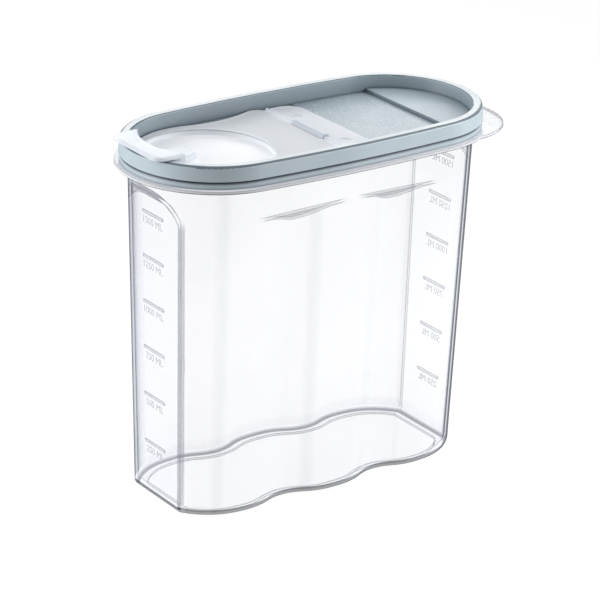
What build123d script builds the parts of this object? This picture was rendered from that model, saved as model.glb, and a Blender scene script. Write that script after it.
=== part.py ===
from build123d import *
import os
from math import acos, asin, atan, atan2, cos, degrees, hypot, radians, sin, tan

# A cereal dispenser: a clear tapered container, a push-on lid with a sunk top, and a pour flap
# whose hinge rod turns in a clip on a small plate set into the lid.
# Millimetres. +Z is up and +X points away from the pouring end. The origin is the middle of the
# container's base. Every plan outline is the outline of the lid's band, grown or shrunk.

# Outline of the lid's band: two long side arcs joined by two end arcs
lid_length = 191.0
lid_width = 90.3
side_radius = 782.0

# Container
body_height = 167.6
wall = 1.5
floor_thickness = 2.0
base_recess = 1.4
foot_width = 6.0
top_inset = 4.3
base_inset = 9.1
base_round = 4.0
floor_round = 2.5

# Upright hollows, two in each long side
hollow_depth = 5.6
valley_radius = 23.0
rib_width = 5.2
hollow_land = 3.2
hollow_top_drop = 17.0
hollow_roof_slope = 43.0

# Flat panel in each end of the container, under an arch
panel_inset = 14.7
panel_lean = 1.36
panel_width = 48.0
panel_top_drop = 13.3
arch_radius = 16.0
arch_slope = 45.0

# Container rim: flange, thumb ear and the upstand that the lid is pushed over
flange_thickness = 1.7
flange_reach = 2.0
flange_round = 0.6
ear_overhang = 9.3
ear_side_inset = 5.85
ear_radius = 30.5
upstand_inset = 2.7
upstand_thickness = 1.1
upstand_height = 7.3

# Fill marks on both end panels
mark_volumes = (250, 500, 750, 1000, 1250, 1500)
mark_width = 16.9
mark_height = 1.1
mark_relief = 0.3
mark_halvings = 12
cubic_mm_per_ml = 1000

# Lid
lid_height = 11.0
band_height = 7.2
band_draft = 0.7
band_round = 1.4
skirt_top_inset = 0.95
skirt_bottom_inset = 0.35
channel_inset = 2.3
channel_width = 1.9
channel_roof = 1.8
recess_top_inset = 5.3
recess_bottom_inset = 5.8
rim_inner_round = 0.7
lid_floor_thickness = 1.4
lid_floor_depth = 8.25
plug_skirt_gap = 0.5
plug_skirt_thickness = 1.2
plug_skirt_depth = 3.5
platform_length = 32.8
platform_rise = 1.75
insert_pocket_depth = 0.3
insert_pocket_gap = 0.3

# Pour hole, flap and hinge
hole_offset = 3.1
hole_border = 4.1
plug_clearance = 0.4
plug_wall = 1.1
plug_depth = 2.45
plate_thickness = 1.25
bead_width = 1.3
bead_height = 0.35
recess_clearance = 0.9
flap_side_gap = 0.8
waist_radius = 59.0
flap_corner_radius = 7.0
hinge_x = 3.2
hinge_rise = 0.1
rod_radius = 1.05
rod_end_inset = 1.0
rod_groove = 0.35
clip_clearance = 0.08
clip_wall = 0.95
clip_width = 25.0
clip_side_gap = 0.3
hinge_gap = 0.55
insert_side_gap = 2.85
insert_reach = 16.4
insert_corner_radius = 9.0
insert_small_radius = 2.0
peg_offset = 6.5
peg_spacing = 39.4
peg_radius = 1.8
peg_clearance = 0.05
dimple_radius = 3.2
dimple_depth = 0.25

# Lip of the flap over the rim at the pouring end, and the thumb rest behind it
lip_half_width = 20.0
lip_overhang = 0.2
lip_top = 2.5
lip_thickness = 1.9
lip_wall = 2.2
lip_corner_radius = 5.0
lip_round = 0.9
thumb_rest_length = 24.6
thumb_rest_half_width = 10.0
thumb_rest_rise = 5.0
thumb_rest_round = 1.5

# Worked out from the sizes above
end_radius = (side_radius * lid_width - lid_width**2 / 4 - lid_length**2 / 4)
end_radius /= 2 * side_radius - lid_length
end_x = lid_length / 2 - end_radius
side_y = side_radius - lid_width / 2
join_angle = degrees(acos(end_x / (side_radius - end_radius)))
panel_reach = lid_length / 2 - panel_inset
ear_reach = lid_length / 2 + ear_overhang
ear_width = lid_width - 2 * ear_side_inset
flange_bottom = body_height - flange_thickness
hollow_top = body_height - hollow_top_drop
panel_top = body_height - panel_top_drop
floor_z = base_recess + floor_thickness
draft = degrees(atan((base_inset - top_inset) / flange_bottom))
lid_top = body_height + lid_height
recess_floor = lid_top - lid_floor_depth
lid_underside = recess_floor - lid_floor_thickness
insert_seat = recess_floor - insert_pocket_depth
plate_top = insert_seat + plate_thickness
hinge_z = plate_top - hinge_rise
platform_start = lid_length / 2 - platform_length
head_radius = end_radius - recess_bottom_inset - recess_clearance
hole_x = -end_x - hole_offset
hole_radius = head_radius - hole_border
plug_radius = hole_radius - plug_clearance
plug_bottom = plate_top - plug_depth - plate_thickness
lip_reach = lid_length / 2 + lip_overhang
lip_inner_radius = head_radius - lip_wall
clip_radius = rod_radius + clip_clearance + clip_wall
insert_start = hinge_x + rod_radius + hinge_gap
insert_end = hinge_x + insert_reach
insert_width = lid_width - 2 * (recess_bottom_inset + insert_side_gap)
rod_length = insert_width - 2 * rod_end_inset
peg_x = hinge_x + peg_offset


def arc(x, y, radius, start, end):
    return CenterArc((x, y), radius, start, end - start)


def polar(x, y, radius, angle):
    return x + radius * cos(radians(angle)), y + radius * sin(radians(angle))


def half_turned(edges):
    """Closes half an outline with the same half turned about Z."""
    return make_face(edges + [edge.rotate(Axis.Z, 180) for edge in edges])


def oval(grow):
    """The band's outline, grown by a distance."""
    return half_turned([
        arc(end_x, 0, end_radius + grow, -join_angle, join_angle),
        arc(0, -side_y, side_radius + grow, join_angle, 180 - join_angle),
    ])


def hollow_arcs(grow, angle, half_angle):
    """Shoulder, valley and shoulder of one hollow, centred at an angle on the side arc."""
    side = side_radius - base_inset
    valley_distance = side - hollow_depth + valley_radius
    shoulder_radius = (
        side**2 + valley_distance**2 - valley_radius**2
        - 2 * valley_distance * side * cos(radians(half_angle))
    ) / (2 * (side + valley_radius - valley_distance * cos(radians(half_angle))))
    valley = polar(0, -side_y, valley_distance, angle)
    right = polar(0, -side_y, side - shoulder_radius, angle - half_angle)
    left = polar(0, -side_y, side - shoulder_radius, angle + half_angle)
    across = (side - shoulder_radius) * sin(radians(half_angle))
    lean = degrees(asin(across / (shoulder_radius + valley_radius)))
    shoulder = shoulder_radius + grow + base_inset
    return [
        arc(*right, shoulder, angle - half_angle, angle + lean),
        arc(*valley, valley_radius - grow - base_inset, 180 + angle + lean, 180 + angle - lean),
        arc(*left, shoulder, angle - lean, angle + half_angle),
    ]


def wavy(grow):
    """The oval with two hollows in each long side."""
    side = side_radius - base_inset
    rib_half = degrees(rib_width / 2 / side)
    land = degrees(hollow_land / side)
    half_angle = (90 - join_angle - rib_half - land) / 2
    right = 90 - rib_half - half_angle
    left = 90 + rib_half + half_angle
    radius = side_radius + grow
    edges = [
        arc(end_x, 0, end_radius + grow, -join_angle, join_angle),
        arc(0, -side_y, radius, join_angle, right - half_angle),
        *hollow_arcs(grow, right, half_angle),
        arc(0, -side_y, radius, right + half_angle, left - half_angle),
        *hollow_arcs(grow, left, half_angle),
        arc(0, -side_y, radius, left + half_angle, 180 - join_angle),
    ]
    return half_turned(edges)


def slab(face, bottom, top, taper=0.0):
    """A plan face made into a solid between two heights, narrowing upwards by the taper."""
    return extrude(Pos(0, 0, bottom) * face, amount=top - bottom, taper=taper)


def ring(outer_grow, inner_grow, bottom, top):
    return slab(oval(outer_grow) - oval(inner_grow), bottom, top)


def above_hollows(inward):
    """Everything above the sloping roofs of the hollows, moved inwards by a distance."""
    slope = tan(radians(hollow_roof_slope))
    wall_y = lid_width / 2 - top_inset
    rise = inward / cos(radians(hollow_roof_slope))
    middle = hollow_top - slope * wall_y + rise
    edge = middle + slope * lid_width
    top = lid_top + lid_width
    profile = Plane.YZ * Polygon(
        (0, middle),
        (lid_width, edge),
        (lid_width, top),
        (-lid_width, top),
        (-lid_width, edge),
        align=None,
    )
    return extrude(profile, amount=lid_length, both=True)


def end_panel_cut(inward):
    """The space outside the flat panel at the +X end, moved inwards by a distance."""
    lean = radians(panel_lean)
    reach = panel_reach - inward / cos(lean)
    slope = radians(arch_slope)
    grow = inward * (1 - sin(slope)) / cos(slope)
    plane = Plane(origin=(reach, 0, 0), x_dir=(0, 1, 0), z_dir=(cos(lean), 0, -sin(lean)))
    height = panel_top + grow
    arch = Rectangle(panel_width + 2 * grow, 2 * height)
    arch = fillet(arch.vertices().group_by(Axis.Y)[-1], arch_radius + grow)
    return extrude(plane * arch, amount=panel_inset + flange_reach, taper=-arch_slope)


def vessel(inward, bottom):
    """Tapered body with hollows and end panels, moved inwards by a distance."""
    grow = bottom * tan(radians(draft)) - base_inset - inward / cos(radians(draft))
    above = above_hollows(inward)
    solid = slab(wavy(grow), bottom, flange_bottom, -draft) - above
    solid += slab(oval(grow), bottom, flange_bottom, -draft) & above
    cut = end_panel_cut(inward)
    return solid - cut - mirror(cut, Plane.YZ)


def mark_heights():
    """Height of each fill mark, where the space below it holds the mark's volume."""
    space = vessel(wall, floor_z)
    heights = []
    for volume in mark_volumes:
        low, high = floor_z, flange_bottom
        for _ in range(mark_halvings):
            middle = (low + high) / 2
            below = space & Pos(0, 0, middle / 2) * Box(2 * lid_length, 2 * lid_width, middle)
            if below.volume < volume * cubic_mm_per_ml:
                low = middle
            else:
                high = middle
        heights.append(middle)
    return heights


def fill_marks():
    """Raised bars on both end panels, one at each marked volume."""
    lean = radians(panel_lean)
    plane = Plane(origin=(panel_reach, 0, 0), x_dir=(0, 1, 0), z_dir=(cos(lean), 0, -sin(lean)))
    marks = []
    for height in mark_heights():
        if height > panel_top - mark_height:
            continue
        bar = plane * Pos(0, height / cos(lean), 0) * Box(mark_width, mark_height, 2 * mark_relief)
        marks += [bar, mirror(bar, Plane.YZ)]
    return marks


def rim():
    """Flange, thumb ear and upstand around the container's mouth."""
    ear = Pos(ear_reach / 2, 0) * Rectangle(ear_reach, ear_width)
    ear = fillet(ear.vertices().group_by(Axis.X)[-1], ear_radius)
    solids = [slab(plan, flange_bottom, body_height) for plan in (oval(flange_reach), ear)]
    flange, ear = (fillet(solid.edges().filter_by(Plane.XY), flange_round) for solid in solids)
    solid = flange + ear - slab(oval(-top_inset - wall), flange_bottom, body_height)
    upstand_inner = -upstand_inset - upstand_thickness
    return solid + ring(-upstand_inset, upstand_inner, body_height, body_height + upstand_height)


def container():
    body = vessel(0, 0)
    body = fillet(body.edges().group_by(Axis.Z)[0], base_round)
    space = vessel(wall, floor_z)
    space = fillet(space.edges().group_by(Axis.Z)[0], floor_round)
    inside_foot = vessel(foot_width, 0).faces().sort_by(Axis.Z)[0]
    solid = body - space - extrude(inside_foot, amount=base_recess, dir=(0, 0, 1)) + rim()
    for mark in fill_marks():
        solid += mark
    return solid


def lid():
    band = slab(oval(0), lid_top - band_height, lid_top, degrees(atan(band_draft / band_height)))
    band = fillet(band.edges().group_by(Axis.Z)[-1], band_round)
    skirt_height = lid_height - band_height
    flare = degrees(atan((skirt_top_inset - skirt_bottom_inset) / skirt_height))
    solid = band + slab(oval(-skirt_bottom_inset), body_height, body_height + skirt_height, flare)
    recess_taper = degrees(atan((recess_bottom_inset - recess_top_inset) / lid_floor_depth))
    recess = slab(oval(-recess_bottom_inset), recess_floor, lid_top, -recess_taper)
    behind_riser = Pos(platform_start + lid_length / 2, 0, recess_floor) * Box(
        lid_length, lid_width, 2 * platform_rise
    )
    solid -= recess - behind_riser
    solid = fillet(solid.edges().group_by(Axis.Z)[-1].group_by(SortBy.LENGTH)[0], rim_inner_round)
    inside = -channel_inset - channel_width
    solid -= ring(-channel_inset, inside, body_height, lid_top - channel_roof)
    solid -= slab(oval(inside), body_height, lid_underside)
    skirt_outer = -top_inset - wall - plug_skirt_gap
    skirt_inner = skirt_outer - plug_skirt_thickness
    solid += ring(skirt_outer, skirt_inner, lid_underside - plug_skirt_depth, lid_underside)
    under_platform = Pos(platform_start + lid_floor_thickness + lid_length / 2, 0, lid_underside) * Box(
        lid_length, lid_width, 2 * platform_rise
    )
    solid -= under_platform & slab(oval(skirt_inner), lid_underside, lid_top)
    solid -= slab(Pos(hole_x, 0) * Circle(hole_radius), lid_underside, lid_top)
    pocket = slab(oval(-recess_bottom_inset), insert_seat, recess_floor)
    solid -= pocket & Pos(insert_end + insert_pocket_gap - lid_length / 2, 0, recess_floor) * Box(
        lid_length, lid_width, 2 * insert_pocket_depth
    )
    for side in (-1, 1):
        peg_hole = Pos(peg_x, side * peg_spacing / 2) * Circle(peg_radius + peg_clearance)
        solid -= slab(peg_hole, lid_underside, recess_floor)
    return solid


def flap_outline():
    """Round head, two waists and rounded corners at the hinge edge."""
    edge_x = hinge_x - rod_radius / 2
    corner_x = edge_x - flap_corner_radius
    corner_y = lid_width / 2 - recess_bottom_inset - flap_side_gap - flap_corner_radius
    to_corner = hypot(corner_x + end_x, corner_y)
    from_head = head_radius + waist_radius
    from_corner = flap_corner_radius + waist_radius
    turn = acos((from_head**2 + to_corner**2 - from_corner**2) / (2 * from_head * to_corner))
    head_angle = degrees(atan2(corner_y, corner_x + end_x) + turn)
    waist_x, waist_y = polar(-end_x, 0, from_head, head_angle)
    corner_angle = degrees(atan2(waist_y - corner_y, waist_x - corner_x))
    upper = [
        arc(-end_x, 0, head_radius, 180, head_angle),
        arc(waist_x, waist_y, waist_radius, 180 + head_angle, 180 + corner_angle),
        arc(corner_x, corner_y, flap_corner_radius, corner_angle, 0),
        Line((edge_x, corner_y), (edge_x, 0)),
    ]
    return make_face(upper + [mirror(edge, Plane.XZ) for edge in upper])


def lip():
    """Rounded tab over the rim, standing on a curved wall just inside the recess."""
    tab = Pos(-lip_reach / 2 - end_x / 2, 0) * Rectangle(lip_reach - end_x, 2 * lip_half_width)
    tab = fillet(tab.vertices().group_by(Axis.X)[0], lip_corner_radius)
    tab -= Pos(-end_x, 0) * Circle(lip_inner_radius)
    inside = tab & Pos(-end_x, 0) * Circle(head_radius)
    top = lid_top + lip_top
    solid = slab(tab, top - lip_thickness, top)
    solid += slab(inside, insert_seat, top - lip_thickness)
    return fillet(solid.edges().group_by(Axis.Z)[-1], lip_round)


def thumb_rest(inward):
    """Half-oval rest behind the lip, moved inwards by a distance."""
    plan = Pos(-end_x - lip_inner_radius, 0)
    plan *= Ellipse(thumb_rest_length - inward, thumb_rest_half_width - inward)
    plan &= Pos(hole_x, 0) * Circle(plug_radius - inward)
    low = plug_bottom if inward else plug_bottom + plate_thickness / 2
    solid = slab(plan, low, plug_bottom + plate_thickness + thumb_rest_rise - inward)
    return fillet(solid.edges().group_by(Axis.Z)[-1], thumb_rest_round - inward / 2)


def pour_flap():
    solid = slab(flap_outline(), insert_seat, plate_top)
    bore = Pos(hole_x, 0) * Circle(plug_radius - plug_wall)
    bead = Pos(hole_x, 0) * Circle(plug_radius - plug_wall + bead_width)
    raised = slab(bead, plate_top, plate_top + bead_height)
    solid += slab(Pos(hole_x, 0) * Circle(plug_radius), plug_bottom, plate_top)
    solid += fillet(raised.edges().group_by(Axis.Z)[-1], bead_height / 2)
    solid -= slab(bore, plug_bottom + plate_thickness, lid_top)
    solid += lip()
    solid += thumb_rest(0)
    solid -= thumb_rest(plate_thickness)
    rod = Pos(hinge_x, 0, hinge_z) * Rot(90, 0, 0) * Cylinder(rod_radius, rod_length)
    notch = 2 * (clip_radius + clip_side_gap)
    solid -= Pos(hinge_x, 0, hinge_z) * Box(notch, clip_width + 2 * clip_side_gap, notch)
    beside_rod = Pos(hinge_x - rod_radius - rod_groove, 0, plate_top)
    solid -= beside_rod * Box(rod_groove, rod_length, 2 * rod_groove)
    return solid + rod


def hinge_plate():
    middle = (insert_start + insert_end) / 2
    plan = Pos(middle, 0) * Rectangle(insert_end - insert_start, insert_width)
    plan = fillet(plan.vertices().group_by(Axis.X)[-1], insert_corner_radius)
    plan = fillet(plan.vertices().group_by(Axis.X)[0], insert_small_radius)
    solid = slab(plan, insert_seat, plate_top)
    axle = Pos(hinge_x, 0, hinge_z) * Rot(90, 0, 0)
    solid += axle * Cylinder(clip_radius, clip_width)
    solid += Pos((hinge_x + insert_start) / 2 + rod_radius, 0, (insert_seat + plate_top) / 2) * Box(
        insert_start - hinge_x, clip_width, plate_thickness
    )
    solid -= axle * Cylinder(rod_radius + clip_clearance, 2 * clip_width)
    below = Pos(hinge_x, 0, insert_seat - clip_radius)
    solid -= below * Box(4 * clip_radius, 2 * clip_width, 2 * clip_radius)
    for side in (-1, 1):
        place = Pos(peg_x, side * peg_spacing / 2)
        solid += slab(place * Circle(peg_radius), lid_underside, insert_seat)
        solid -= slab(place * Circle(dimple_radius), plate_top - dimple_depth, plate_top)
    return solid


parts = {"container": container, "lid": lid, "hinge_plate": hinge_plate, "pour_flap": pour_flap}
os.makedirs("parts", exist_ok=True)
for name, make in parts.items():
    export_step(make(), f"parts/{name}.step")
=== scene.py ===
from math import atan, cos, radians, sin

import bmesh
import bpy
from mathutils import Matrix, Quaternion, Vector


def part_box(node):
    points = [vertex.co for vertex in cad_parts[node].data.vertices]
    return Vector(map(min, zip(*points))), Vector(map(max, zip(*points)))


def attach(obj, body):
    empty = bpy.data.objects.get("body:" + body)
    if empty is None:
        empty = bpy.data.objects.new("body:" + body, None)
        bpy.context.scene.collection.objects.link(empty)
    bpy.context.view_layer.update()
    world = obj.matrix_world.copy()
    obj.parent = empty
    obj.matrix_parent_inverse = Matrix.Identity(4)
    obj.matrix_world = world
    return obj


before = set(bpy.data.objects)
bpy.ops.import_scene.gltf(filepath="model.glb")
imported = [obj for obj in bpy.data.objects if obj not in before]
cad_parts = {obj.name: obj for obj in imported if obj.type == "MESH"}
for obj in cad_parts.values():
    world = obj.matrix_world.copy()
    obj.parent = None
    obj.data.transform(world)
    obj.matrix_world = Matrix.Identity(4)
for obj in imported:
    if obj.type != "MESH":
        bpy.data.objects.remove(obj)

# Metres, +Z up. The pour end is at -X and the thumb ear at +X.
MM = 0.001

# Fill figures below the raised bars on both end panels
fill_volumes = (250, 500, 750, 1000, 1250, 1500)
figure_height = 3.4 * MM
figure_gap = 2.2 * MM
figure_relief = 0.2 * MM
figure_sink = 0.03 * MM
figure_line_share = 0.95
figure_weld = 0.005 * MM
bar_half_width = 8.45 * MM
bar_relief = 0.3 * MM
bar_slack = 0.02 * MM
bar_spacing = 8.0 * MM

# Where a mask has a pair of limits, it begins at the first and is full or empty at the second.

# Container's rim: how far it starts above the lower edge of the lid's plug skirt, and its flange and ear
rim_start = 0.45 * MM
flange_height = 1.7 * MM
ear_start = (86 * MM, 90 * MM)

# Container's rounded foot, the corner above its floor, and where its rounded ends start, all given painted
# shade
foot_round = 4.0 * MM
corner_band = (4.0 * MM, 9.5 * MM)
end_start = (64 * MM, 70 * MM)

# Sloping roofs of the container's hollows, whose painted shade is fainter towards the pour end
roof_start = (100 * MM, 110 * MM)
roof_fade = (-80 * MM, -60 * MM)

# Flat field of each end panel: its foot and shoulder heights, and its half width at both
panel_heights = (4 * MM, 147 * MM)
panel_half_widths = (18.8 * MM, 21.1 * MM)

# Painted shade line along that field's upright edges: the end panel's start, the line's section, and its
# fading top
panel_start = (77 * MM, 79 * MM)
panel_line = (-0.2 * MM, 0.0, 1.1 * MM, 1.6 * MM)
panel_line_top = (144 * MM, 150 * MM)

# Groove under the lid's band, the recessed floor and the rim's top, where shade is painted on the lid, all
# measured down from the lid's top
groove_top = 7.2 * MM
groove_bottom = 9.4 * MM
groove_fade = 0.7 * MM
groove_slack = 0.02 * MM
low_floor = 5.0 * MM
lid_rim = 1.0 * MM

# Lid's textured floor: its heights above the hinge plate's peg ends, where its grain takes painted glints,
# and the length behind that plate over which its painted shade lightens
floor_band = (0.7 * MM, 2.1 * MM)
floor_shade = 35 * MM

# Pocket of the flap and foot of the hinge's clip, both measured down from the hinge plate's top
pocket_depth = 2.2 * MM
clip_height = 1.95 * MM

# Tilt of a face, from 0 for an upright one to 1 for a level one
upright_tilt = (0.2, 0.35)
level_tilt = (0.9, 0.96)

# Moulded plastic
plastic_ior = 1.49
grain_depth = 0.03 * MM

# Camera
camera_place = Vector((-0.7635, -1.0471, 0.6162))
camera_aim = Vector((-0.0188, -0.0265, 0.0991))
camera_roll = radians(1.81)
camera_lens = 174.6
sensor_width = 36

# Studio: each softbox's place, width and power
studio_height = 0.1
world_fill = 0.2
floor_size = 12.0
floor_glow = 0.74
softboxes = {
    "left_softbox": ((-1.2, 0.45, 0.55), 0.8, 17.0),
    "right_softbox": ((0.55, -0.45, 0.4), 0.5, 6.2),
    "top_softbox": ((0.0, 0.25, 1.5), 1.1, 4.8),
    "back_softbox": ((0.9, 1.25, 0.75), 1.0, 6.0),
}

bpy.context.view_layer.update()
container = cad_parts["container"]
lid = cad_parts["lid"]
hinge_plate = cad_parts["hinge_plate"]
pour_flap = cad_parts["pour_flap"]


# Shader building


def add_node(tree, kind, inputs=(), **settings):
    """A node with its settings, and with values or links on its named or numbered inputs."""
    made = tree.nodes.new(kind)
    for name, value in settings.items():
        setattr(made, name, value)
    for name, value in dict(inputs).items():
        if isinstance(value, bpy.types.NodeSocket):
            tree.links.new(value, made.inputs[name])
        else:
            made.inputs[name].default_value = value
    return made


def compute(tree, operation, a, b=0.0, clamp=False):
    return add_node(tree, "ShaderNodeMath", {0: a, 1: b}, operation=operation, use_clamp=clamp).outputs[0]


def product(tree, first, *others):
    """Masks or numbers multiplied together."""
    made = first
    for other in others:
        made = compute(tree, "MULTIPLY", made, other)
    return made


def total(tree, *shares):
    """The sum of several masks, each with its weight."""
    added = 0.0
    for mask, weight in shares:
        added = compute(tree, "ADD", product(tree, mask, weight), added)
    return added


def opposite(tree, mask):
    """A mask turned round: 1 where it is 0, and 0 where it is 1."""
    return compute(tree, "SUBTRACT", 1.0, mask)


def between(tree, value, low, high, to_low=0.0, to_high=1.0):
    """A soft step from one result to another as the value goes from its low to its high limit."""
    inputs = {"Value": value, "From Min": low, "From Max": high, "To Min": to_low, "To Max": to_high}
    return add_node(tree, "ShaderNodeMapRange", inputs, interpolation_type="SMOOTHSTEP").outputs["Result"]


def below(tree, value, full, gone):
    """A soft mask that is full up to one limit and gone past the other."""
    return between(tree, value, full, gone, 1.0, 0.0)


def by_mask(tree, mask, outside, inside):
    """One number outside a mask and another one inside it."""
    return between(tree, mask, 0.0, 1.0, outside, inside)


def window(tree, value, rise_start, rise_end, fall_start, fall_end):
    """A soft mask that is full between two limits and empty outside them."""
    risen = between(tree, value, rise_start, rise_end)
    return product(tree, risen, below(tree, value, fall_start, fall_end))


def axes(tree, vector):
    return add_node(tree, "ShaderNodeSeparateXYZ", {"Vector": vector}).outputs


def mixed(tree, share, a, b):
    """Colour a, turning to colour b as the share rises."""
    return add_node(tree, "ShaderNodeMix", {0: share, 6: a, 7: b}, data_type="RGBA").outputs[2]


def bump(tree, height, distance, strength):
    inputs = {"Height": height, "Distance": distance, "Strength": strength}
    return add_node(tree, "ShaderNodeBump", inputs).outputs["Normal"]


def ramp(tree, share, stops):
    """Blends through stops, each a place on the scale and a colour or a grey."""
    node = add_node(tree, "ShaderNodeValToRGB", {"Fac": share})
    scale = node.color_ramp
    while len(scale.elements) < len(stops):
        scale.elements.new(1.0)
    for element, (place, value) in zip(scale.elements, stops):
        element.position = place
        element.color = (*value, 1) if isinstance(value, tuple) else (value, value, value, 1)
    return node.outputs["Color"]


def outwardness(tree, place):
    """Above 0 on a face that looks away from the part's upright middle line, below 0 on one facing it."""
    plan = add_node(tree, "ShaderNodeVectorMath", {0: place["Object"], 1: (1, 1, 0)}, operation="MULTIPLY")
    inputs = {0: plan.outputs["Vector"], 1: place["Normal"]}
    return add_node(tree, "ShaderNodeVectorMath", inputs, operation="DOT_PRODUCT").outputs["Value"]


def new_material(name):
    made = bpy.data.materials.new(name)
    made.use_nodes = True
    tree = made.node_tree
    return made, tree, tree.nodes["Principled BSDF"]


# Effects that several plastics share


def new_group(name, inputs, outputs):
    """An empty shader group with named number sockets."""
    group = bpy.data.node_groups.new(name, "ShaderNodeTree")
    for socket, value in inputs.items():
        made = group.interface.new_socket(socket, in_out="INPUT", socket_type="NodeSocketFloat")
        made.default_value = value
    for socket in outputs:
        group.interface.new_socket(socket, in_out="OUTPUT", socket_type="NodeSocketFloat")
    return group, group.nodes.new("NodeGroupInput").outputs, group.nodes.new("NodeGroupOutput").inputs


def place_group(tree, group, **values):
    made = add_node(tree, "ShaderNodeGroup", node_tree=group)
    for name, value in values.items():
        made.inputs[name.replace("_", " ")].default_value = value
    return made.outputs


def moulded_skin():
    """Cloudiness and fine grain of a moulded plastic surface."""
    scales = {"Cloud Scale": 30.0, "Grain Scale": 900.0}
    group, given, out = new_group("moulded_skin", scales, ("Cloud", "Grain"))
    place = add_node(group, "ShaderNodeTexCoord").outputs["Object"]
    cloudiness = {"Vector": place, "Scale": given["Cloud Scale"], "Detail": 3.0}
    graininess = {"Vector": place, "Scale": given["Grain Scale"], "Detail": 2.0}
    cloud = add_node(group, "ShaderNodeTexNoise", cloudiness).outputs["Fac"]
    grain = add_node(group, "ShaderNodeTexNoise", graininess).outputs["Fac"]
    group.links.new(between(group, cloud, 0.3, 0.7), out["Cloud"])
    group.links.new(grain, out["Grain"])
    return group


def edge_shade_and_highlight():
    """Mask of the narrow band along each edge, where the clear and raised plastics paint shade and the
    milky and pale plastics paint a pale highlight line.
    """
    band = {"Width": 0.5 * MM, "Start": 0.02, "End": 0.3}
    group, given, out = new_group("edge_shade_and_highlight", band, ("Mask",))
    rounded = add_node(group, "ShaderNodeBevel", {"Radius": given["Width"]}, samples=6).outputs["Normal"]
    flat = add_node(group, "ShaderNodeNewGeometry").outputs["Normal"]
    same = add_node(group, "ShaderNodeVectorMath", {0: rounded, 1: flat}, operation="DOT_PRODUCT")
    turned = compute(group, "SUBTRACT", 1.0, same.outputs["Value"], clamp=True)
    group.links.new(between(group, turned, given["Start"], given["End"]), out["Mask"])
    return group


def crevice_shade():
    """How far a place lies inside a groove or a corner: 0 in the open and 1 deep inside."""
    limits = {"Reach": 3 * MM, "Open": 0.9, "Shut": 0.35}
    group, given, out = new_group("crevice_shade", limits, ("Shade",))
    sky = add_node(group, "ShaderNodeAmbientOcclusion", {"Distance": given["Reach"]}, samples=8)
    group.links.new(between(group, sky.outputs["AO"], given["Open"], given["Shut"]), out["Shade"])
    return group


skin_group = moulded_skin()
edge_group = edge_shade_and_highlight()
crevice_group = crevice_shade()


# See-through plastics


def see_through(
    name, colours, cover, painted_edge, painted_edge_colour, roughness, gloss, shadow_cover, more_cover_and_shade=None, patchy=0.15
):
    """Plastic that is faint where it is seen square on and closes up where it is seen along its surface,
    where its colour darkens as painted shade.
    """
    made, tree, shader = new_material(name)
    skin = place_group(tree, skin_group, Cloud_Scale=18.0, Grain_Scale=350.0)
    # Edge band in the painted edge colour: painted shade on clear and raised plastic, a painted highlight
    # on milky and pale plastic
    line = place_group(tree, edge_group, Width=painted_edge["width"], Start=painted_edge["start"], End=painted_edge["end"])["Mask"]
    along = add_node(tree, "ShaderNodeLayerWeight", {"Blend": 0.5}).outputs["Facing"]
    cloud = between(tree, skin["Cloud"], 0.0, 1.0, 1 - patchy, 1 + patchy)
    closed = product(tree, ramp(tree, along, cover), cloud)
    colour = ramp(tree, along, colours)
    # Extra cover, and a colour laid over by a mask: painted shade, and on the container's flange painted
    # light
    if more_cover_and_shade:
        more, shade, shade_colour, lined = more_cover_and_shade(tree, along)
        closed = compute(tree, "ADD", closed, more)
        colour = mixed(tree, shade, colour, shade_colour)
        line = product(tree, line, lined)
    closed = compute(tree, "MAXIMUM", closed, product(tree, line, painted_edge["cover"]))
    on_lamp_path = add_node(tree, "ShaderNodeLightPath").outputs["Is Shadow Ray"]
    kept = by_mask(tree, on_lamp_path, 1.0, shadow_cover)
    rough = between(tree, skin["Cloud"], 0.0, 1.0, roughness, roughness * 1.4)
    tree.links.new(compute(tree, "MULTIPLY", closed, kept, clamp=True), shader.inputs["Alpha"])
    tree.links.new(mixed(tree, line, colour, painted_edge_colour), shader.inputs["Base Color"])
    tree.links.new(bump(tree, skin["Grain"], grain_depth, 0.25), shader.inputs["Normal"])
    tree.links.new(rough, shader.inputs["Roughness"])
    shader.inputs["Specular IOR Level"].default_value = gloss
    shader.inputs["IOR"].default_value = plastic_ior
    return made


def rim_places(tree, spot, tilt, upright):
    """Masks of the container's rim, its flange and ear, and the painted shade lines that edge them."""
    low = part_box("lid")[0].z + rim_start
    high = low + flange_height
    rim = between(tree, spot["Z"], low - 0.2 * MM, low)
    ear = between(tree, spot["X"], *ear_start)
    side = product(tree, rim, upright)
    return {
        "rim": rim,
        "ear": ear,
        "flange": product(tree, rim, below(tree, spot["Z"], high + 0.05 * MM, high + 0.3 * MM)),
        "side": side,
        "ear_side": product(tree, side, ear),
        "edge": product(tree, rim, window(tree, tilt, 0.25, 0.4, 0.85, 0.95)),
        "line": window(tree, spot["Z"], low - 0.1 * MM, low, low + 0.35 * MM, low + 0.6 * MM),
        "under": below(tree, spot["Z"], low - 1 * MM, low),
    }


def foot_places(tree, spot, tilt, facing_in):
    """Masks of the container's rounded foot and of the corner above its floor, where shade is painted."""
    curl = opposite(tree, compute(tree, "DIVIDE", spot["Z"], foot_round))
    off_curl = compute(tree, "ABSOLUTE", compute(tree, "SUBTRACT", tilt, curl))
    foot = product(tree, below(tree, off_curl, 0.12, 0.25), below(tree, tilt, 0.88, 0.96))
    foot = product(tree, foot, compute(tree, "LESS_THAN", spot["Z"], foot_round))
    far_foot = product(tree, facing_in, between(tree, curl, 0.9, 0.3))
    foot = product(tree, foot, by_mask(tree, far_foot, 1.0, 0.05))
    corner = product(tree, facing_in, below(tree, tilt, 0.7, 0.9), below(tree, spot["Z"], *corner_band))
    return foot, corner


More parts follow.
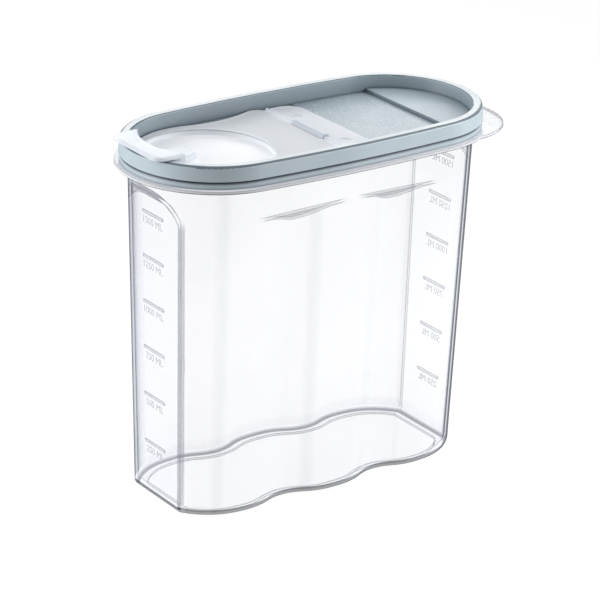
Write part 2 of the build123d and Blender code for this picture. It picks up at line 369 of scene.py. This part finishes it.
def panel_edge_line(tree, spot, upright, facing_in):
    """Mask of the painted shade line along both upright edges of the flat field on each end panel."""
    inputs = {
        "Value": spot["Z"],
        "From Min": panel_heights[0],
        "From Max": panel_heights[1],
        "To Min": panel_half_widths[0],
        "To Max": panel_half_widths[1],
    }
    edge = add_node(tree, "ShaderNodeMapRange", inputs).outputs["Result"]
    off_edge = compute(tree, "SUBTRACT", compute(tree, "ABSOLUTE", spot["Y"]), edge)
    at_end = between(tree, compute(tree, "ABSOLUTE", spot["X"]), *panel_start)
    line = product(tree, at_end, upright, window(tree, off_edge, *panel_line))
    line = product(tree, line, by_mask(tree, facing_in, 1.0, 0.2))
    return product(tree, line, below(tree, spot["Z"], *panel_line_top))


def container_light_and_shade(tree, along):
    """More cover with painted shade on the container's rim edges, foot, floor corner, rounded ends, hollows
    and panel edges, and more cover with painted light on its flange.
    """
    place = add_node(tree, "ShaderNodeTexCoord").outputs
    spot = axes(tree, place["Object"])
    normal = axes(tree, place["Normal"])
    tilt = compute(tree, "ABSOLUTE", normal["Z"])
    turned = compute(tree, "ABSOLUTE", normal["X"])
    upright = below(tree, tilt, *upright_tilt)
    facing_in = compute(tree, "LESS_THAN", outwardness(tree, place), 0.0)
    rim = rim_places(tree, spot, tilt, upright)
    # Painted shade on the rounded foot and the corner above the floor
    foot, corner = foot_places(tree, spot, tilt, facing_in)
    panel_edge_shade = panel_edge_line(tree, spot, upright, facing_in)
    # Painted shade on the shoulders of the hollows
    flank_shade = product(tree, window(tree, turned, 0.3, 0.42, 0.43, 0.55), upright)
    flank_shade = product(tree, flank_shade, by_mask(tree, facing_in, 1.0, 0.15))
    # Painted shade on the sloping roofs of the hollows
    roof_shade = product(tree, window(tree, tilt, 0.6, 0.66, 0.78, 0.84), between(tree, spot["Z"], *roof_start))
    roof_shade = product(tree, roof_shade, rim["under"], between(tree, spot["X"], *roof_fade, 0.4, 1.0))
    # Painted shade on the rounded ear end and pour end, with a softer, wider painted shade on the pour end
    ear_end_shade = product(tree, between(tree, spot["X"], *end_start), upright)
    ear_end_shade = product(tree, ear_end_shade, between(tree, along, 0.7, 0.84))
    pour_end_shade = product(tree, between(tree, product(tree, spot["X"], -1.0), *end_start), upright)
    pour_end_soft_shade = product(tree, pour_end_shade, between(tree, along, 0.4, 0.85))
    pour_end_shade = product(tree, pour_end_shade, between(tree, along, 0.82, 0.9))
    # Cover added by painted shade at the rim's lines, edges and ear side, the flanks, panel edges, roofs,
    # foot, floor corner and rounded ends, and by painted light on the flange
    more = total(
        tree,
        (product(tree, rim["flange"], by_mask(tree, rim["ear"], 0.8, 0.1)), 1.0),
        (rim["line"], 0.2),
        (rim["edge"], 0.3),
        (rim["ear_side"], 0.4),
        (rim["rim"], 0.02),
        (flank_shade, 0.05),
        (panel_edge_shade, 0.45),
        (roof_shade, 0.2),
        (foot, 0.62),
        (corner, 0.07),
        (ear_end_shade, 0.7),
        (pour_end_shade, 0.35),
        (pour_end_soft_shade, 0.38),
    )
    # Painted shade lines, which turn towards the dark shade colour
    lines = total(
        tree,
        (rim["line"], 0.4),
        (rim["edge"], 0.55),
        (rim["side"], 0.1),
        (rim["ear_side"], 0.5),
        (panel_edge_shade, 0.6),
        (pour_end_shade, 0.7),
    )
    dark = compute(tree, "MAXIMUM", compute(tree, "MAXIMUM", foot, ear_end_shade), lines, clamp=True)
    # Painted light on the flange: a pale colour that lifts it over the shaded lid plug behind it
    flange_painted_light = product(tree, rim["flange"], opposite(tree, dark))
    shade_colour = mixed(tree, flange_painted_light, (0.07, 0.09, 0.12, 1), (0.92, 0.935, 0.97, 1))
    shade = compute(tree, "MAXIMUM", dark, rim["flange"])
    lined = opposite(tree, product(tree, rim["rim"], opposite(tree, rim["ear"])))
    return more, shade, shade_colour, lined


def pocket_places(tree, along):
    """A fuller, whiter pocket in the pour flap."""
    height = axes(tree, add_node(tree, "ShaderNodeTexCoord").outputs["Object"])["Z"]
    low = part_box("hinge_plate")[1].z - pocket_depth
    pocket = below(tree, height, low - 0.3 * MM, low)
    return product(tree, pocket, 0.2), pocket, (0.84, 0.86, 0.89, 1), 1.0


def hinge_places(tree, along):
    """Painted shade that greys the clip and the crevices on the hinge plate."""
    nook_shade = place_group(tree, crevice_group, Reach=3 * MM, Open=0.75, Shut=0.35)["Shade"]
    height = axes(tree, add_node(tree, "ShaderNodeTexCoord").outputs["Object"])["Z"]
    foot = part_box("hinge_plate")[1].z - clip_height
    clip_shade = between(tree, height, foot, foot + 0.3 * MM)
    # Painted shade colour over the crevices and the clip
    shade = compute(tree, "MAXIMUM", product(tree, nook_shade, 0.75), product(tree, clip_shade, 0.55))
    more = product(tree, compute(tree, "MAXIMUM", nook_shade, clip_shade), 0.25)
    return more, shade, (0.3, 0.34, 0.38, 1), by_mask(tree, clip_shade, 1.0, 0.0)


def tinted_inside(made, colour, density):
    """Lets a wall shade what is seen through it by the length of plastic on the way."""
    tree = made.node_tree
    inside = add_node(tree, "ShaderNodeVolumeAbsorption", {"Color": colour, "Density": density})
    tree.links.new(inside.outputs["Volume"], tree.nodes["Material Output"].inputs["Volume"])


clear_plastic = see_through(
    "clear_plastic",
    # Colours by how far the surface is seen along it; the dark ones near grazing are painted shade along
    # outlines
    colours=(
        (0.0, (0.80, 0.82, 0.93)),
        (0.62, (0.74, 0.77, 0.87)),
        (0.76, (0.46, 0.49, 0.55)),
        (0.88, (0.28, 0.30, 0.35)),
        (0.95, (0.13, 0.15, 0.19)),
        (1.0, (0.05, 0.07, 0.10)),
    ),
    cover=(
        (0.0, 0.05),
        (0.45, 0.05),
        (0.58, 0.03),
        (0.66, 0.04),
        (0.72, 0.09),
        (0.77, 0.18),
        (0.82, 0.36),
        (0.9, 0.7),
        (1.0, 0.97),
    ),
    painted_edge={"width": 0.9 * MM, "start": 0.002, "end": 0.013, "cover": 0.62},
    painted_edge_colour=(0.18, 0.20, 0.25, 1),
    roughness=0.12,
    gloss=0.12,
    shadow_cover=0.15,
    more_cover_and_shade=container_light_and_shade,
)
tinted_inside(clear_plastic, (0.35, 0.4, 0.6, 1), 6.0)

milky_plastic = see_through(
    "milky_plastic",
    colours=((0.0, (0.82, 0.86, 0.91)), (0.7, (0.80, 0.84, 0.89)), (1.0, (0.55, 0.6, 0.65))),
    cover=((0.0, 0.55), (0.6, 0.62), (1.0, 0.92)),
    painted_edge={"width": 0.4 * MM, "start": 0.02, "end": 0.2, "cover": 0.9},
    painted_edge_colour=(0.80, 0.83, 0.87, 1),
    roughness=0.3,
    gloss=0.4,
    shadow_cover=0.5,
    more_cover_and_shade=pocket_places,
    patchy=0.03,
)

pale_plastic = see_through(
    "pale_plastic",
    colours=((0.0, (0.80, 0.83, 0.90)), (0.7, (0.78, 0.82, 0.88)), (1.0, (0.5, 0.55, 0.6))),
    cover=((0.0, 0.62), (0.6, 0.7), (1.0, 0.92)),
    painted_edge={"width": 0.4 * MM, "start": 0.02, "end": 0.2, "cover": 0.9},
    painted_edge_colour=(0.86, 0.88, 0.91, 1),
    roughness=0.3,
    gloss=0.4,
    shadow_cover=0.5,
    more_cover_and_shade=hinge_places,
    patchy=0.03,
)

raised_plastic = see_through(
    "raised_plastic",
    colours=((0.0, (0.5, 0.52, 0.57)), (1.0, (0.35, 0.38, 0.42))),
    cover=((0.0, 0.14), (1.0, 0.4)),
    painted_edge={"width": 0.2 * MM, "start": 0.02, "end": 0.2, "cover": 0.25},
    painted_edge_colour=(0.35, 0.37, 0.41, 1),
    roughness=0.3,
    gloss=0.1,
    shadow_cover=0.2,
)


# Lid's satin plastic


def floor_grain_and_glints(tree, place, height):
    """Mask of the fine grain on the lid's textured floor, whose cells are painted with glints."""
    peg_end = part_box("hinge_plate")[0].z
    over = compute(tree, "GREATER_THAN", height, peg_end + floor_band[0])
    under = compute(tree, "LESS_THAN", height, peg_end + floor_band[1])
    cells = add_node(tree, "ShaderNodeTexVoronoi", {"Vector": place["Object"], "Scale": 1900.0})
    chance = add_node(tree, "ShaderNodeSeparateColor", {"Color": cells.outputs["Color"]}).outputs[0]
    return product(tree, between(tree, chance, 0.7, 1.0), product(tree, over, under))


def band_groove(tree, height, tilt, outward):
    """Mask of the groove between the lid's band and the strip below it, where dark shade is painted."""
    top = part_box("lid")[1].z - groove_top
    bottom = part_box("lid")[1].z - groove_bottom
    return product(
        tree,
        between(tree, height, bottom, top - groove_fade),
        compute(tree, "LESS_THAN", height, top + groove_slack),
        compute(tree, "GREATER_THAN", outward, 0.0),
        below(tree, tilt, 0.5, 0.6),
    )


def lid_finish():
    """Satin coloured plastic with painted shade in its groove, creases, recess, low floor, inner walls and
    rounded edges, a painted shade tone on its rim's top, and painted glints on the fine grain of its low
    floor.
    """
    made, tree, shader = new_material("satin_lid_plastic")
    skin = place_group(tree, skin_group, Cloud_Scale=40.0, Grain_Scale=1400.0)
    # Painted shade in the creases and in the recess
    crease_shade = place_group(tree, crevice_group, Reach=2.2 * MM, Open=0.85, Shut=0.55)["Shade"]
    recess_shade = place_group(tree, crevice_group, Reach=20 * MM, Open=0.9, Shut=0.35)["Shade"]
    place = add_node(tree, "ShaderNodeTexCoord").outputs
    spot = axes(tree, place["Object"])
    height = spot["Z"]
    tilt = axes(tree, place["Normal"])["Z"]
    outward = outwardness(tree, place)
    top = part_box("lid")[1].z
    plate_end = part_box("hinge_plate")[1].x
    glinting_grain = floor_grain_and_glints(tree, place, height)
    groove_shade = band_groove(tree, height, tilt, outward)
    upright = below(tree, compute(tree, "ABSOLUTE", tilt), *upright_tilt)
    level = between(tree, tilt, *level_tilt)
    inner_wall_shade = product(tree, compute(tree, "LESS_THAN", outward, 0.0), upright)
    low = product(tree, level, below(tree, height, top - low_floor, top))
    # Painted shade on the low floor, deeper next to the hinge plate and lighter away from it
    low = product(tree, low, between(tree, spot["X"], plate_end, plate_end + floor_shade, 0.85, 0.5))
    rim_top_shade = product(tree, level, between(tree, height, top - lid_rim, top))
    # Painted shade on the lid's rounded edges
    edge = window(tree, tilt, 0.3, 0.45, 0.93, 0.98)
    base = mixed(tree, skin["Cloud"], (0.485, 0.57, 0.62, 1), (0.505, 0.59, 0.64, 1))
    # Painted shade on the rim's top, low floor, inner walls, recess, rounded edges, creases and groove, and
    # painted glints on the floor grain
    for mask, share, colour in (
        (rim_top_shade, 0.8, (0.49, 0.535, 0.56, 1)),
        (low, 1.0, (0.2, 0.26, 0.3, 1)),
        (glinting_grain, 0.4, (0.85, 0.92, 1.0, 1)),
        (inner_wall_shade, 0.62, (0.16, 0.2, 0.23, 1)),
        (recess_shade, 0.8, (0.12, 0.15, 0.18, 1)),
        (edge, 0.88, (0.05, 0.08, 0.1, 1)),
        (crease_shade, 0.6, (0.04, 0.06, 0.08, 1)),
        (groove_shade, 0.96, (0.01, 0.025, 0.035, 1)),
    ):
        base = mixed(tree, product(tree, mask, share), base, colour)
    relief = compute(tree, "ADD", skin["Grain"], product(tree, glinting_grain, 4.0))
    tree.links.new(base, shader.inputs["Base Color"])
    tree.links.new(bump(tree, relief, grain_depth, 0.5), shader.inputs["Normal"])
    tree.links.new(between(tree, skin["Cloud"], 0.0, 1.0, 0.32, 0.42), shader.inputs["Roughness"])
    shader.inputs["IOR"].default_value = plastic_ior
    return made


satin_lid_plastic = lid_finish()

for piece, finish in (
    (container, clear_plastic),
    (lid, satin_lid_plastic),
    (hinge_plate, pale_plastic),
    (pour_flap, milky_plastic),
):
    piece.data.materials.clear()
    piece.data.materials.append(finish)


# Fill figures


def end_bars(side):
    """Outer face of each raised bar on one end panel, lowest first: its middle height and its reach."""
    corners = [
        (corner.co.z, corner.co.x * side)
        for corner in container.data.vertices
        if corner.co.x * side > 0 and abs(abs(corner.co.y) - bar_half_width) < bar_slack
    ]
    bars = []
    for height, reach in sorted(corners):
        if not bars or height - bars[-1][-1][0] > bar_spacing:
            bars.append([])
        bars[-1].append((height, reach))
    return [((bar[0][0] + bar[-1][0]) / 2, max(reach for height, reach in bar)) for bar in bars]


def letters(words):
    """Flat-faced lettering as a mesh, lying in the XY plane."""
    curve = bpy.data.curves.new("lettering", "FONT")
    curve.body = words
    curve.extrude = 0.5
    written = bpy.data.objects.new("lettering", curve)
    mesh = bpy.data.meshes.new_from_object(written)
    bpy.data.objects.remove(written)
    return mesh


def span(mesh, axis):
    places = [vertex.co[axis] for vertex in mesh.vertices]
    return min(places), max(places)


def new_piece(name, shape, finish, body):
    """A finished shape as a piece that rides on a body."""
    mesh = bpy.data.meshes.new(name)
    shape.to_mesh(mesh)
    shape.free()
    mesh.materials.append(finish)
    piece = bpy.data.objects.new(name, mesh)
    bpy.context.scene.collection.objects.link(piece)
    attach(piece, body)
    return piece


def fill_figures(name, side):
    """The volume below each bar of one end panel, standing a little proud of the panel."""
    bars = end_bars(side)
    lean = atan((bars[-1][1] - bars[0][1]) / (bars[-1][0] - bars[0][0]))
    out = Vector((side * cos(lean), 0, -sin(lean)))
    up = Vector((side * sin(lean), 0, cos(lean)))
    across = up.cross(out)
    longest = letters(f"{fill_volumes[-1]} ML")
    left, right = span(longest, 0)
    bottom, top = span(longest, 1)
    width_scale = 2 * bar_half_width * figure_line_share / (right - left)
    height_scale = figure_height / (top - bottom)
    shape = bmesh.new()
    for volume, (height, reach) in zip(fill_volumes, bars):
        mesh = letters(f"{volume} ML")
        left, right = span(mesh, 0)
        mesh.transform(Matrix.Translation((-(left + right) / 2, -top, 0)))
        mesh.transform(Matrix.Diagonal((width_scale, height_scale, figure_relief + figure_sink, 1)))
        middle = Vector((side * reach, 0, height)) - up * figure_gap
        middle -= out * (bar_relief - figure_relief / 2)
        frame_of_panel = Matrix((across, up, out)).transposed().to_4x4()
        frame_of_panel.translation = middle
        mesh.transform(frame_of_panel)
        shape.from_mesh(mesh)
    bmesh.ops.remove_doubles(shape, verts=shape.verts, dist=figure_weld)
    bmesh.ops.recalc_face_normals(shape, faces=shape.faces)
    return new_piece(name, shape, raised_plastic, "container")


fill_figures("fill_figures_pour_end", -1)
fill_figures("fill_figures_ear_end", 1)


# Studio and camera


def surroundings():
    """White to the camera and in reflections, and a dim fill light."""
    world = bpy.data.worlds.new("studio")
    bpy.context.scene.world = world
    world.use_nodes = True
    tree = world.node_tree
    path = add_node(tree, "ShaderNodeLightPath").outputs
    seen = compute(tree, "MAXIMUM", path["Is Camera Ray"], path["Is Glossy Ray"])
    seen = compute(tree, "MAXIMUM", seen, path["Is Transmission Ray"])
    backdrop = tree.nodes["Background"]
    backdrop.inputs["Color"].default_value = (1, 1, 1, 1)
    tree.links.new(by_mask(tree, seen, world_fill, 1.0), backdrop.inputs["Strength"])


def studio_floor():
    """Pale floor that keeps the object's shadow."""
    made, tree, shader = new_material("pale_floor")
    path = add_node(tree, "ShaderNodeLightPath").outputs
    shader.inputs["Base Color"].default_value = (0.3, 0.3, 0.303, 1)
    shader.inputs["Roughness"].default_value = 0.9
    shader.inputs["Specular IOR Level"].default_value = 0.0
    shader.inputs["Emission Color"].default_value = (1, 1, 1, 1)
    tree.links.new(product(tree, path["Is Camera Ray"], floor_glow), shader.inputs["Emission Strength"])
    shape = bmesh.new()
    bmesh.ops.create_grid(shape, x_segments=1, y_segments=1, size=floor_size / 2)
    mesh = bpy.data.meshes.new("studio_floor")
    shape.to_mesh(mesh)
    shape.free()
    mesh.materials.append(made)
    floor = bpy.data.objects.new("studio_floor", mesh)
    bpy.context.scene.collection.objects.link(floor)


def add_softbox(name, place, width, power):
    """A square lamp that looks at the middle of the object."""
    lamp = bpy.data.lights.new(name, "AREA")
    lamp.shape = "SQUARE"
    lamp.size = width
    lamp.energy = power
    softbox = bpy.data.objects.new(name, lamp)
    softbox.location = place
    softbox.visible_camera = False
    aim = Vector((0, 0, studio_height)) - Vector(place)
    softbox.rotation_euler = aim.to_track_quat("-Z", "Y").to_euler()
    bpy.context.scene.collection.objects.link(softbox)


def add_camera():
    lens = bpy.data.cameras.new("camera")
    lens.lens = camera_lens
    lens.sensor_width = sensor_width
    seen_from = bpy.data.objects.new("camera", lens)
    turn = (camera_aim - camera_place).to_track_quat("-Z", "Y")
    turn = turn @ Quaternion((0, 0, 1), camera_roll)
    seen_from.location = camera_place
    seen_from.rotation_euler = turn.to_euler()
    bpy.context.scene.collection.objects.link(seen_from)
    bpy.context.scene.camera = seen_from


surroundings()
studio_floor()
for name, (place, width, power) in softboxes.items():
    add_softbox(name, place, width, power)
add_camera()
bpy.context.scene.view_settings.view_transform = "Standard"
